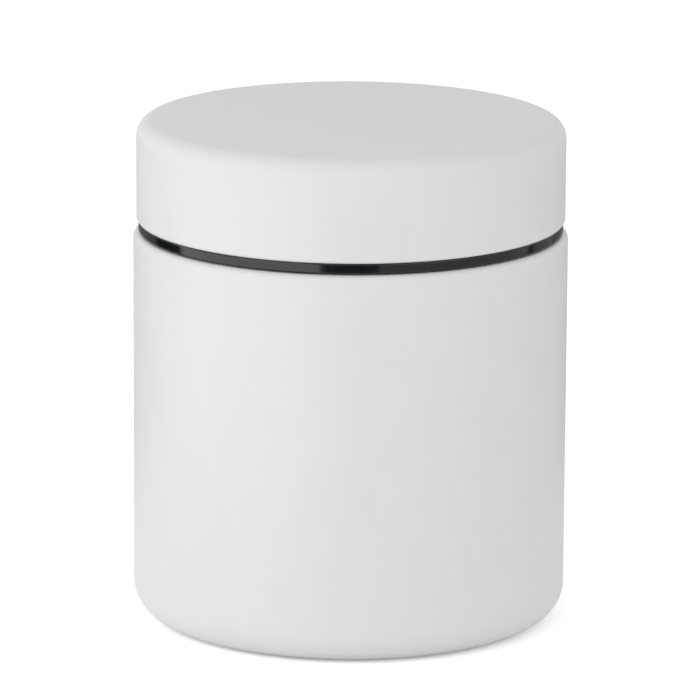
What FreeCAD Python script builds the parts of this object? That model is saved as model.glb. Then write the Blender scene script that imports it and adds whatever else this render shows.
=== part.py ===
import FreeCAD, Part
import os
import Sketcher

# Insulated food jar: a double-walled steel jar with a screw-on lid that carries a sealing plate.
# Lengths are millimetres. +Z is up and the origin is the centre of the foot's underside.

# Driving dimensions: name, value, what it is
DIMENSIONS = [
    ("body_radius", 47.5, "outside of the jar's wall"),
    ("shoulder_height", 86.0, "floor to the flat shoulder of the jar"),
    ("shell_wall", 0.6, "sheet of the outer shell"),
    ("shoulder_round", 1.5, "outside radius of the shoulder's edge"),
    ("base_round", 7.3, "outside radius of the bottom edge"),
    ("base_lip", 7.6, "flat ring turned in under the jar, from the tangent of the round"),
    ("recess_margin", 0.8, "step up to the foot pad's recess, inside the tangent of the bottom round"),
    ("recess_round", 0.3, "edges of the step"),
    ("neck_round", 0.8, "inside radius where the shoulder turns up into the neck"),
    ("neck_height", 9.0, "shoulder to the top of the shell's neck"),
    ("mouth_step", 2.5, "inside of the food vessel from the neck's outside"),
    ("vessel_wall", 0.5, "sheet of the food vessel"),
    ("vessel_floor", 9.5, "floor to the inside floor of the vessel"),
    ("vessel_corner", 9.0, "inside radius at the vessel's floor"),
    ("rim_thickness", 0.6, "lip of the vessel that lies on the neck"),
    ("foil_gap", 0.05, "play between the foil and the vessel"),
    ("foil_thickness", 0.1, "reflecting foil"),
    ("foil_margin", 4.0, "bare vessel at both ends of the foil wrap"),
    ("foil_disc_margin", 0.7, "foil disc inside the flat of the vessel's floor"),
    ("pad_thickness", 0.85, "soft foot pad"),
    ("pad_play", 0.4, "foot pad inside the step of its recess"),
    ("pad_proud", 0.2, "foot pad below the shell"),
    ("pad_edge", 0.4, "rounded edge of the foot pad"),
    ("film_thickness", 0.15, "adhesive under the base"),
    ("film_margin", 0.4, "adhesive short of the pad's edge"),
    ("base_wall", 0.6, "sheet of the closing base"),
    ("base_overlap", 3.0, "closing base over the turned-in lip"),
    ("cap_play", 0.2, "cap inside the turned-in lip"),
    ("dimple_radius", 9.0, "dimple round the evacuation hole"),
    ("dimple_rise", 2.4, "depth of the dimple"),
    ("dimple_slope", 2.0, "radial width of the dimple's sloping wall"),
    ("vent_radius", 0.9, "evacuation hole"),
    ("bead_radius", 4.5, "sealing bead over the evacuation hole"),
    ("bead_thickness", 1.4, "sealing bead"),
    ("bead_round", 0.9, "round edge of the sealing bead"),
    ("getter_inset", 10.6, "middle of the getter from the inner edge of the turned-in lip"),
    ("getter_radius", 4.0, "getter pill"),
    ("getter_thickness", 2.0, "getter pill"),
    ("getter_round", 0.3, "edge of the getter pill"),
    ("clip_play", 0.1, "play between the getter and its clip"),
    ("clip_sheet", 0.3, "sheet of the getter clip"),
    ("clip_width", 3.4, "strap of the getter clip"),
    ("clip_foot", 2.6, "welded foot of the getter clip"),
    ("lid_setback", 0.65, "lid's side inside the jar's side"),
    ("lid_height", 22.2, "height of the lid's cover"),
    ("lid_round", 3.7, "outside radius of the lid's top edge"),
    ("lid_hem", 0.8, "outside radius of the lid's bottom edge"),
    ("cover_wall", 1.6, "wall of the lid's cover"),
    ("ring_setback", 1.1, "side of the ring seen under the cover, inside the jar's side"),
    ("ring_height", 2.2, "ring seen under the cover"),
    ("ring_round", 0.35, "edges of the ring"),
    ("ring_gap", 0.3, "ring above the shoulder when the lid is screwed down"),
    ("liner_fit", 0.1, "play between the liner and the cover"),
    ("liner_wall", 1.45, "wall of the liner"),
    ("liner_roof", 1.5, "roof of the liner"),
    ("plate_play", 0.3, "running play round the sealing plate"),
    ("plate_sheet", 1.3, "wall of the sealing plate"),
    ("plate_margin", 0.5, "sealing plate inside the liner"),
    ("plug_play", 0.7, "plug of the sealing plate inside the vessel's mouth"),
    ("plug_depth", 5.0, "plug below the rim"),
    ("plug_round", 1.8, "bottom edge of the plug"),
    ("bead_reach", 1.1, "snap bead that holds the sealing plate"),
    ("bead_height", 0.8, "snap bead that holds the sealing plate"),
    ("gasket_thickness", 2.0, "sealing gasket"),
    ("gasket_play", 0.2, "gasket above the rim"),
    ("gasket_round", 0.6, "edges of the gasket"),
    ("foam_play", 0.3, "insulating disc below the cover's roof, and above the liner's roof when unscrewed"),
    ("foam_margin", 2.5, "insulating disc inside the cover's wall"),
    ("thread_lead", 4.5, "rise of the thread in one turn"),
    ("unscrew_turns", 0.75, "turns of the lid that free the two threads"),
    ("thread_depth", 1.2, "height of a thread ridge"),
    ("thread_root", 2.2, "width of a thread ridge at its root"),
    ("thread_crest", 1.0, "width of a thread ridge at its crest"),
    ("thread_sink", 0.25, "root of a ridge inside the wall that carries it"),
    ("thread_play", 0.3, "play between the two threads, radial and axial"),
    ("neck_thread_start", 2.4, "middle of the neck's ridge above the shoulder where it starts"),
    ("neck_thread_length", 4.6, "rise of the neck's ridge from end to end"),
    ("lid_thread_length", 4.5, "rise of the lid's ridge from end to end"),
    ("lid_thread_start", 1.3, "rise along the helix before the lid's ridge starts"),
]

doc = FreeCAD.newDocument("food_jar")
sheet = doc.addObject("Spreadsheet::Sheet", "sizes")
for row, (alias, value, note) in enumerate(DIMENSIONS, start=1):
    sheet.set("A%d" % row, note)
    sheet.set("B%d" % row, str(value))
    sheet.setAlias("B%d" % row, alias)
doc.recompute()

# The names in a formula are the sheet's, so each one is written with the sheet's name before it
WORDS = {alias for alias, _, _ in DIMENSIONS}


def bound(formula):
    """The formula with every dimension's name pointing at its cell."""
    out = []
    for word in formula.replace("(", " ( ").replace(")", " ) ").split():
        out.append("sizes." + word if word in WORDS else word)
    return " ".join(out)


# Heights and radii that several pieces share, as formulas of the driving dimensions
BASE_BOTTOM = "( pad_thickness + film_thickness )"
LIP_RADIUS = "( body_radius - base_round - base_lip )"
STEP_RADIUS = "( body_radius - base_round - recess_margin )"
BASE_INSIDE = "( %s + shell_wall )" % BASE_BOTTOM
NECK_TOP = "( shoulder_height + neck_height )"
RIM_TOP = "( %s + rim_thickness )" % NECK_TOP
VESSEL_UNDERSIDE = "( vessel_floor - vessel_wall )"
LID_RADIUS = "( body_radius - lid_setback )"
RING_BOTTOM = "( shoulder_height + ring_gap )"
LID_BOTTOM = "( %s + ring_height )" % RING_BOTTOM
RING_RADIUS = "( body_radius - ring_setback )"
TOTAL_HEIGHT = "( %s + lid_height )" % LID_BOTTOM
COVER_INSIDE = "( %s - cover_wall )" % LID_RADIUS
COVER_ROOF = "( %s - cover_wall )" % TOTAL_HEIGHT
LINER_OUTSIDE = "( %s - liner_fit )" % COVER_INSIDE
LINER_INSIDE = "( %s - liner_wall )" % LINER_OUTSIDE
NECK_RADIUS = "( %s - thread_play - thread_depth )" % LINER_INSIDE
VESSEL_RADIUS = "( %s - mouth_step )" % NECK_RADIUS
VESSEL_OUTSIDE = "( %s + vessel_wall )" % VESSEL_RADIUS
GASKET_BOTTOM = "( %s + gasket_play )" % RIM_TOP
PLATE_BOTTOM = "( %s + gasket_thickness )" % GASKET_BOTTOM
PLATE_TOP = "( %s + plate_sheet )" % PLATE_BOTTOM
LINER_ROOF = "( %s + plate_play )" % PLATE_TOP
LINER_TOP = "( %s + liner_roof )" % LINER_ROOF
PLUG_RADIUS = "( %s - plug_play )" % VESSEL_RADIUS
PLUG_BOTTOM = "( %s - plug_depth )" % RIM_TOP


def upright_plane(body):
    """The body's own origin plane through X and Z."""
    return next(item for item in body.Origin.OriginFeatures if item.Role == "XZ_Plane")


def new_body(name):
    """An empty body whose label is the piece's name."""
    body = doc.addObject("PartDesign::Body", name)
    body.Label = name
    return body


def outline(body, name, corners):
    """A closed upright sketch through corners, each given as two formulas: along X, and up."""
    sketch = body.newObject("Sketcher::SketchObject", name)
    sketch.AttachmentSupport = (upright_plane(body), [""])
    sketch.MapMode = "FlatFace"
    count = len(corners)
    start = [FreeCAD.Vector(10 + i, (i * i) % 7, 0) for i in range(count)]
    for i in range(count):
        sketch.addGeometry(Part.LineSegment(start[i], start[(i + 1) % count]), False)
    for i in range(count):
        sketch.addConstraint(Sketcher.Constraint("Coincident", i, 2, (i + 1) % count, 1))
    for i, corner in enumerate(corners):
        for kind, formula, axis in (("DistanceX", corner[0], -2), ("DistanceY", corner[1], -1)):
            if formula == "0":
                sketch.addConstraint(Sketcher.Constraint("PointOnObject", i, 1, axis))
                continue
            spot = sketch.addConstraint(Sketcher.Constraint(kind, -1, 1, i, 1, 1.0))
            sketch.setExpression("Constraints[%d]" % spot, bound(formula))
    doc.recompute()
    return sketch


def ring_edge(shape, radius, height):
    """Name of the circular edge about the Z axis with this radius and height."""
    for number, edge in enumerate(shape.Edges, start=1):
        if not isinstance(edge.Curve, Part.Circle):
            continue
        centre = edge.Curve.Center
        if (
            abs(edge.Curve.Radius - radius) < 1e-4
            and abs(centre.z - height) < 1e-4
            and abs(edge.Curve.Axis.z) > 0.999
        ):
            return "Edge%d" % number
    raise RuntimeError("no round edge at radius %.3f, height %.3f" % (radius, height))


def turned(body, corners, rounds=()):
    """The outline turned about Z, then the named corners rounded: (corner numbers, radius formula)."""
    sketch = outline(body, body.Label + "_outline", corners)
    turn = body.newObject("PartDesign::Revolution", body.Label + "_turn")
    turn.Profile = sketch
    turn.ReferenceAxis = (sketch, ["V_Axis"])
    turn.Angle = 360.0
    doc.recompute()
    last = turn
    for order, (numbers, radius) in enumerate(rounds):
        spots = [sketch.getPoint(number, 1) for number in numbers]
        edges = [ring_edge(last.Shape, spot.x, spot.y) for spot in spots]
        fillet = body.newObject("PartDesign::Fillet", "%s_round%d" % (body.Label, order))
        fillet.Base = (last, edges)
        fillet.setExpression("Radius", bound(radius))
        doc.recompute()
        last = fillet
    return last


def ridge(body, corners, rise):
    """A right-handed thread ridge wound about Z from the corners of its section."""
    sketch = outline(body, body.Label + "_ridge_section", corners)
    helix = body.newObject("PartDesign::AdditiveHelix", body.Label + "_ridge")
    helix.Profile = sketch
    helix.ReferenceAxis = (sketch, ["V_Axis"])
    helix.Mode = "pitch-height-angle"
    helix.setExpression("Pitch", bound("thread_lead"))
    helix.setExpression("Height", bound(rise))
    helix.Angle = 0
    helix.LeftHanded = False
    helix.Reversed = False
    doc.recompute()
    return helix


# Jar: outer shell with its shoulder, threaded neck and turned-in lip, stepped up to seat the foot pad
outer_shell = new_body("outer_shell")
turned(
    outer_shell,
    [
        (LIP_RADIUS, BASE_BOTTOM),
        (STEP_RADIUS, BASE_BOTTOM),
        (STEP_RADIUS, "pad_proud"),
        ("body_radius", "pad_proud"),
        ("body_radius", "shoulder_height"),
        (NECK_RADIUS, "shoulder_height"),
        (NECK_RADIUS, NECK_TOP),
        ("%s - shell_wall" % NECK_RADIUS, NECK_TOP),
        ("%s - shell_wall" % NECK_RADIUS, "shoulder_height - shell_wall"),
        ("body_radius - shell_wall", "shoulder_height - shell_wall"),
        ("body_radius - shell_wall", "pad_proud + shell_wall"),
        ("%s + shell_wall" % STEP_RADIUS, "pad_proud + shell_wall"),
        ("%s + shell_wall" % STEP_RADIUS, BASE_INSIDE),
        (LIP_RADIUS, BASE_INSIDE),
    ],
    [
        ([9], "shoulder_round - shell_wall"),
        ([10], "base_round - shell_wall"),
        ([4], "shoulder_round"),
        ([3], "base_round"),
        ([5], "neck_round"),
        ([2, 12], "recess_round"),
    ],
)
NECK_RIDGE = "( shoulder_height + neck_thread_start )"
ridge(
    outer_shell,
    [
        ("%s - thread_sink" % NECK_RADIUS, "%s - thread_root / 2" % NECK_RIDGE),
        (NECK_RADIUS, "%s - thread_root / 2" % NECK_RIDGE),
        ("%s + thread_depth" % NECK_RADIUS, "%s - thread_crest / 2" % NECK_RIDGE),
        ("%s + thread_depth" % NECK_RADIUS, "%s + thread_crest / 2" % NECK_RIDGE),
        (NECK_RADIUS, "%s + thread_root / 2" % NECK_RIDGE),
        ("%s - thread_sink" % NECK_RADIUS, "%s + thread_root / 2" % NECK_RIDGE),
    ],
    "neck_thread_length",
)

# Jar: food vessel, whose lip lies on the neck
inner_vessel = new_body("inner_vessel")
turned(
    inner_vessel,
    [
        ("0", VESSEL_UNDERSIDE),
        (VESSEL_OUTSIDE, VESSEL_UNDERSIDE),
        (VESSEL_OUTSIDE, NECK_TOP),
        (NECK_RADIUS, NECK_TOP),
        (NECK_RADIUS, RIM_TOP),
        (VESSEL_RADIUS, RIM_TOP),
        (VESSEL_RADIUS, "vessel_floor"),
        ("0", "vessel_floor"),
    ],
    [
        ([6], "vessel_corner"),
        ([1], "vessel_corner + vessel_wall"),
        ([4, 5], "rim_thickness / 2"),
    ],
)

# Jar: reflecting foil round the vessel and under its floor
FOIL_INSIDE = "( %s + foil_gap )" % VESSEL_OUTSIDE
FOIL_OUTSIDE = "( %s + foil_thickness )" % FOIL_INSIDE
FOIL_BOTTOM = "( %s + vessel_corner + foil_margin )" % VESSEL_UNDERSIDE
FOIL_TOP = "( %s - foil_margin )" % NECK_TOP
foil_wrap = new_body("foil_wrap")
turned(
    foil_wrap,
    [
        (FOIL_INSIDE, FOIL_BOTTOM),
        (FOIL_OUTSIDE, FOIL_BOTTOM),
        (FOIL_OUTSIDE, FOIL_TOP),
        (FOIL_INSIDE, FOIL_TOP),
    ],
)
FOIL_DISC_RADIUS = "%s - vessel_wall - vessel_corner - foil_disc_margin" % VESSEL_OUTSIDE
foil_disc = new_body("foil_disc")
turned(
    foil_disc,
    [
        ("0", "%s - foil_gap - foil_thickness" % VESSEL_UNDERSIDE),
        (FOIL_DISC_RADIUS, "%s - foil_gap - foil_thickness" % VESSEL_UNDERSIDE),
        (FOIL_DISC_RADIUS, "%s - foil_gap" % VESSEL_UNDERSIDE),
        ("0", "%s - foil_gap" % VESSEL_UNDERSIDE),
    ],
)

# Jar: closing base, welded on the turned-in lip, with the evacuation hole in its dimple
BASE_TOP = "( %s + base_wall )" % BASE_INSIDE
outer_base = new_body("outer_base")
turned(
    outer_base,
    [
        ("vent_radius", "%s + dimple_rise" % BASE_INSIDE),
        ("dimple_radius - dimple_slope", "%s + dimple_rise" % BASE_INSIDE),
        ("dimple_radius", BASE_INSIDE),
        ("%s + base_overlap" % LIP_RADIUS, BASE_INSIDE),
        ("%s + base_overlap" % LIP_RADIUS, BASE_TOP),
        ("dimple_radius", BASE_TOP),
        ("dimple_radius - dimple_slope", "%s + dimple_rise" % BASE_TOP),
        ("vent_radius", "%s + dimple_rise" % BASE_TOP),
    ],
)

# Jar: sealing bead, melted over the evacuation hole from below
vacuum_seal = new_body("vacuum_seal")
turned(
    vacuum_seal,
    [
        ("0", "%s + dimple_rise - bead_thickness" % BASE_INSIDE),
        ("bead_radius", "%s + dimple_rise - bead_thickness" % BASE_INSIDE),
        ("bead_radius", "%s + dimple_rise" % BASE_INSIDE),
        ("0", "%s + dimple_rise" % BASE_INSIDE),
    ],
    [([1], "bead_round")],
)

# Jar: getter, held on the closing base by a bent clip
GETTER_PLACE = "( %s - getter_inset )" % LIP_RADIUS
GETTER_TOP = "( %s + clip_play + getter_thickness )" % BASE_TOP
getter = new_body("getter")
turned(
    getter,
    [
        ("0", "%s + clip_play" % BASE_TOP),
        ("getter_radius", "%s + clip_play" % BASE_TOP),
        ("getter_radius", GETTER_TOP),
        ("0", GETTER_TOP),
    ],
    [([2], "getter_round")],
)
getter.setExpression("Placement.Base.x", bound(GETTER_PLACE))

STRAP_INSIDE = "( getter_radius + clip_play )"
STRAP_OUTSIDE = "( %s + clip_sheet )" % STRAP_INSIDE
STRAP_TOP = "( %s + clip_play )" % GETTER_TOP
getter_clip = new_body("getter_clip")
strap = outline(
    getter_clip,
    "getter_clip_outline",
    [
        ("%s - %s - clip_foot" % (GETTER_PLACE, STRAP_OUTSIDE), BASE_TOP),
        ("%s - %s" % (GETTER_PLACE, STRAP_INSIDE), BASE_TOP),
        ("%s - %s" % (GETTER_PLACE, STRAP_INSIDE), STRAP_TOP),
        ("%s + %s" % (GETTER_PLACE, STRAP_INSIDE), STRAP_TOP),
        ("%s + %s" % (GETTER_PLACE, STRAP_INSIDE), BASE_TOP),
        ("%s + %s + clip_foot" % (GETTER_PLACE, STRAP_OUTSIDE), BASE_TOP),
        ("%s + %s + clip_foot" % (GETTER_PLACE, STRAP_OUTSIDE), "%s + clip_sheet" % BASE_TOP),
        ("%s + %s" % (GETTER_PLACE, STRAP_OUTSIDE), "%s + clip_sheet" % BASE_TOP),
        ("%s + %s" % (GETTER_PLACE, STRAP_OUTSIDE), "%s + clip_sheet" % STRAP_TOP),
        ("%s - %s" % (GETTER_PLACE, STRAP_OUTSIDE), "%s + clip_sheet" % STRAP_TOP),
        ("%s - %s" % (GETTER_PLACE, STRAP_OUTSIDE), "%s + clip_sheet" % BASE_TOP),
        ("%s - %s - clip_foot" % (GETTER_PLACE, STRAP_OUTSIDE), "%s + clip_sheet" % BASE_TOP),
    ],
)
strap_pad = getter_clip.newObject("PartDesign::Pad", "getter_clip_strap")
strap_pad.Profile = strap
strap_pad.Midplane = True
strap_pad.setExpression("Length", bound("clip_width"))

# Jar: cap over the seal, flush with the turned-in lip
base_cap = new_body("base_cap")
turned(
    base_cap,
    [
        ("0", BASE_BOTTOM),
        ("%s - cap_play" % LIP_RADIUS, BASE_BOTTOM),
        ("%s - cap_play" % LIP_RADIUS, BASE_INSIDE),
        ("0", BASE_INSIDE),
    ],
)

# Jar: adhesive film and the soft foot pad that the jar stands on
PAD_RADIUS = "( %s - pad_play )" % STEP_RADIUS
pad_adhesive = new_body("pad_adhesive")
turned(
    pad_adhesive,
    [
        ("0", "pad_thickness"),
        ("%s - film_margin" % PAD_RADIUS, "pad_thickness"),
        ("%s - film_margin" % PAD_RADIUS, BASE_BOTTOM),
        ("0", BASE_BOTTOM),
    ],
)
base_pad = new_body("base_pad")
turned(
    base_pad,
    [
        ("0", "0"),
        (PAD_RADIUS, "0"),
        (PAD_RADIUS, "pad_thickness"),
        ("0", "pad_thickness"),
    ],
    [([1], "pad_edge")],
)

# Lid: cover, a plain cup turned upside down
lid_cover = new_body("lid_cover")
turned(
    lid_cover,
    [
        ("0", COVER_ROOF),
        (COVER_INSIDE, COVER_ROOF),
        (COVER_INSIDE, LID_BOTTOM),
        (LID_RADIUS, LID_BOTTOM),
        (LID_RADIUS, TOTAL_HEIGHT),
        ("0", TOTAL_HEIGHT),
    ],
    [
        ([1], "lid_round - cover_wall"),
        ([4], "lid_round"),
        ([3], "lid_hem"),
    ],
)

# Lid: insulating disc bonded under the cover's roof
FOAM_TOP = "( %s - foam_play )" % COVER_ROOF
FOAM_BOTTOM = "( %s + thread_lead * unscrew_turns + foam_play )" % LINER_TOP
lid_foam = new_body("lid_foam")
turned(
    lid_foam,
    [
        ("0", FOAM_BOTTOM),
        ("%s - foam_margin" % COVER_INSIDE, FOAM_BOTTOM),
        ("%s - foam_margin" % COVER_INSIDE, FOAM_TOP),
        ("0", FOAM_TOP),
    ],
)

# Lid: liner with the ring seen under the cover, the thread, and the snap bead for the plate
BEAD_TOP = "( %s - plate_play )" % PLATE_BOTTOM
lid_liner = new_body("lid_liner")
turned(
    lid_liner,
    [
        (LINER_INSIDE, RING_BOTTOM),
        (RING_RADIUS, RING_BOTTOM),
        (RING_RADIUS, LID_BOTTOM),
        (LINER_OUTSIDE, LID_BOTTOM),
        (LINER_OUTSIDE, LINER_TOP),
        ("0", LINER_TOP),
        ("0", LINER_ROOF),
        (LINER_INSIDE, LINER_ROOF),
        (LINER_INSIDE, BEAD_TOP),
        ("%s - bead_reach" % LINER_INSIDE, BEAD_TOP),
        ("%s - bead_reach" % LINER_INSIDE, "%s - bead_height / 2" % BEAD_TOP),
        (LINER_INSIDE, "%s - bead_height / 2 - bead_reach" % BEAD_TOP),
    ],
    [([1, 2], "ring_round")],
)
# the lid's ridge lies under the neck's one, with the play between their parallel flanks
FLANK = "( ( thread_root - thread_crest ) / 2 / thread_depth )"
RIDGE_DROP = (
    "( ( thread_root + thread_crest ) / 2 + thread_play - %s * thread_play )" % FLANK
)
LID_RIDGE = "( %s - %s + lid_thread_start )" % (NECK_RIDGE, RIDGE_DROP)
ridge(
    lid_liner,
    [
        ("%s + thread_sink" % LINER_INSIDE, "%s - thread_root / 2" % LID_RIDGE),
        ("%s + thread_sink" % LINER_INSIDE, "%s + thread_root / 2" % LID_RIDGE),
        (LINER_INSIDE, "%s + thread_root / 2" % LID_RIDGE),
        ("%s - thread_depth" % LINER_INSIDE, "%s + thread_crest / 2" % LID_RIDGE),
        ("%s - thread_depth" % LINER_INSIDE, "%s - thread_crest / 2" % LID_RIDGE),
        (LINER_INSIDE, "%s - thread_root / 2" % LID_RIDGE),
    ],
    "lid_thread_length",
)
lid_liner.setExpression(
    "Placement.Rotation.Angle", bound("lid_thread_start / thread_lead * 360")
)

# Lid: sealing plate, a dished plug whose flange turns freely above the snap bead
inner_plate = new_body("inner_plate")
turned(
    inner_plate,
    [
        ("0", PLUG_BOTTOM),
        (PLUG_RADIUS, PLUG_BOTTOM),
        (PLUG_RADIUS, PLATE_BOTTOM),
        ("%s - plate_margin" % LINER_INSIDE, PLATE_BOTTOM),
        ("%s - plate_margin" % LINER_INSIDE, PLATE_TOP),
        ("%s - plate_sheet" % PLUG_RADIUS, PLATE_TOP),
        ("%s - plate_sheet" % PLUG_RADIUS, "%s + plate_sheet" % PLUG_BOTTOM),
        ("0", "%s + plate_sheet" % PLUG_BOTTOM),
    ],
    [
        ([6], "plug_round / 2"),
        ([1], "plug_round"),
    ],
)

# Lid: gasket round the plug, which seals on the rim
lid_gasket = new_body("lid_gasket")
turned(
    lid_gasket,
    [
        (PLUG_RADIUS, GASKET_BOTTOM),
        (NECK_RADIUS, GASKET_BOTTOM),
        (NECK_RADIUS, PLATE_BOTTOM),
        (PLUG_RADIUS, PLATE_BOTTOM),
    ],
    [([0, 1], "gasket_round")],
)

doc.recompute()

PIECES = [
    outer_shell,
    inner_vessel,
    foil_wrap,
    foil_disc,
    getter,
    getter_clip,
    outer_base,
    vacuum_seal,
    base_cap,
    pad_adhesive,
    base_pad,
    lid_cover,
    lid_foam,
    lid_liner,
    inner_plate,
    lid_gasket,
]

for item in doc.Objects:
    if "Invalid" in item.State or "Error" in item.State:
        raise RuntimeError("%s failed to build" % item.Label)
for piece in PIECES:
    if piece.Shape.isNull() or not piece.Shape.isValid() or len(piece.Shape.Solids) != 1:
        raise RuntimeError("%s isn't one valid solid" % piece.Label)

os.makedirs("parts", exist_ok=True)
for piece in PIECES:
    piece.Shape.exportStep(os.path.join("parts", piece.Label + ".step"))
    box = piece.Shape.BoundBox
    print(
        "%-14s volume %10.1f mm3, x %.2f to %.2f, z %.2f to %.2f"
        % (piece.Label, piece.Shape.Volume, box.XMin, box.XMax, box.ZMin, box.ZMax)
    )
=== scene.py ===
import math

import bmesh
import bpy
from bpy.props import FloatProperty, FloatVectorProperty, IntProperty, PointerProperty
from mathutils import Matrix, Quaternion, Vector


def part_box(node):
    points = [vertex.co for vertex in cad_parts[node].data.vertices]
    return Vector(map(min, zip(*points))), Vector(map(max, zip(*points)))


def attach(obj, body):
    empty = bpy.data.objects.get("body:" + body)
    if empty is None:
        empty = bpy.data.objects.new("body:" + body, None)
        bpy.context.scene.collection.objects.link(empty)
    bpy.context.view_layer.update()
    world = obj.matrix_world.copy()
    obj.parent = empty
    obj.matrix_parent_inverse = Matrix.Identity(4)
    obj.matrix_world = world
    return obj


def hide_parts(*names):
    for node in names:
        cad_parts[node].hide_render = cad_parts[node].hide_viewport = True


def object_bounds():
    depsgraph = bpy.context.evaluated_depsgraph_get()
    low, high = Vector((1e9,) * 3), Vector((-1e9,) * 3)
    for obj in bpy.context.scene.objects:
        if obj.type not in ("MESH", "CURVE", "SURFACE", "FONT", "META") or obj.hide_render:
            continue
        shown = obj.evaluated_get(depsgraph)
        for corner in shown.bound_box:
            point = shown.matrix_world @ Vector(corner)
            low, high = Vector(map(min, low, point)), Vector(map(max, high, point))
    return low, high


# Looks of an insulated food jar: matte coated body and lid, a glossy black ring between them,
# a bare steel neck and vessel, a free-turning sealing plate with its gasket, and a soft foot pad.
# Lengths are metres, in the frame of the jar: +Z up, origin under the middle of the foot pad.

bl_info = {
    "name": "Insulated food jar looks",
    "version": (1, 0, 0),
    "blender": (4, 5, 0),
    "location": "3D View > Sidebar > Food jar",
    "description": "Dresses the parts of a screw-top insulated food jar and sets up its studio",
    "category": "Object",
}

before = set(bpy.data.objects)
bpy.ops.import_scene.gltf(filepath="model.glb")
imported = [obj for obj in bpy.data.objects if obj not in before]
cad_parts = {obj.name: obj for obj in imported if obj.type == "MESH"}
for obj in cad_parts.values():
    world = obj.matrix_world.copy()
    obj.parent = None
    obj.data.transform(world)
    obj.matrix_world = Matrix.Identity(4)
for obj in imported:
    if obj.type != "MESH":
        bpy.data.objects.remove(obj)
CAD_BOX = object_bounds()
MM = 0.001
TOUCH = 1e-6  # shorter lengths count as none
WORN_ROUND = 1.5 * MM  # rounds up to this radius are fully marked as edges
SHARP_FROM = math.radians(32)  # angle between two faces that makes their edge sharp
GRID_HEIGHT = 0.1  # length along an outline that is one unit of the "around" grid
THREAD_ROWS = 0.16 * MM  # height of a row of faces on a threaded wall
THREAD_RUN_OUT = 0.045  # share of a turn in which a ridge runs out
LAMP_DISTANCE = 0.7
LAMP_SIZE = 0.5
CARD_STEP = 3  # degrees
SENSOR_WIDTH = 36.0  # millimetres

# Lamps: name, degrees to the right of the camera, degrees up, and the setting with its power
LAMPS = (
    ("key_lamp", -45, 22, "key_power"),
    ("side_lamp", -90, 15, "side_power"),
    ("fill_lamp", 45, 18, "fill_power"),
)

# Cards that the black ring shows: name, first and last degree to the right of the camera, strength
CARDS = (
    ("card_left", -104, -16, 1.75),
    ("card_front", -16, 15, 0.0),
    ("card_right", 15, 100, 0.55),
    ("card_patch", 100, 112, 0.62),
    ("card_gap", 112, 117, 0.0),
    ("card_side", 117, 142, 0.35),
    ("card_back", 142, -130, 0.2),
    ("card_far", -130, -104, 0.0),
)

# Lowest and highest corners of the frame's parts
SHELL_LOW, SHELL_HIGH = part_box("outer_shell")
VESSEL_LOW, VESSEL_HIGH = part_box("inner_vessel")
COVER_LOW, COVER_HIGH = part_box("lid_cover")
LINER_LOW, LINER_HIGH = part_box("lid_liner")
PLATE_LOW, PLATE_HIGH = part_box("inner_plate")
GASKET_LOW, GASKET_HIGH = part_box("lid_gasket")
PAD_LOW, PAD_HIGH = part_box("base_pad")


def length(name, description, default, precision=4):
    """A length setting, in metres."""
    return FloatProperty(name=name, description=description, default=default, unit="LENGTH",
                         precision=precision)


def number(name, description, default):
    """A plain number setting."""
    return FloatProperty(name=name, description=description, default=default)


def colour(name, description, default):
    """A colour setting."""
    return FloatVectorProperty(name=name, description=description, default=default, subtype="COLOR",
                               size=3, min=0, max=1)


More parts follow.
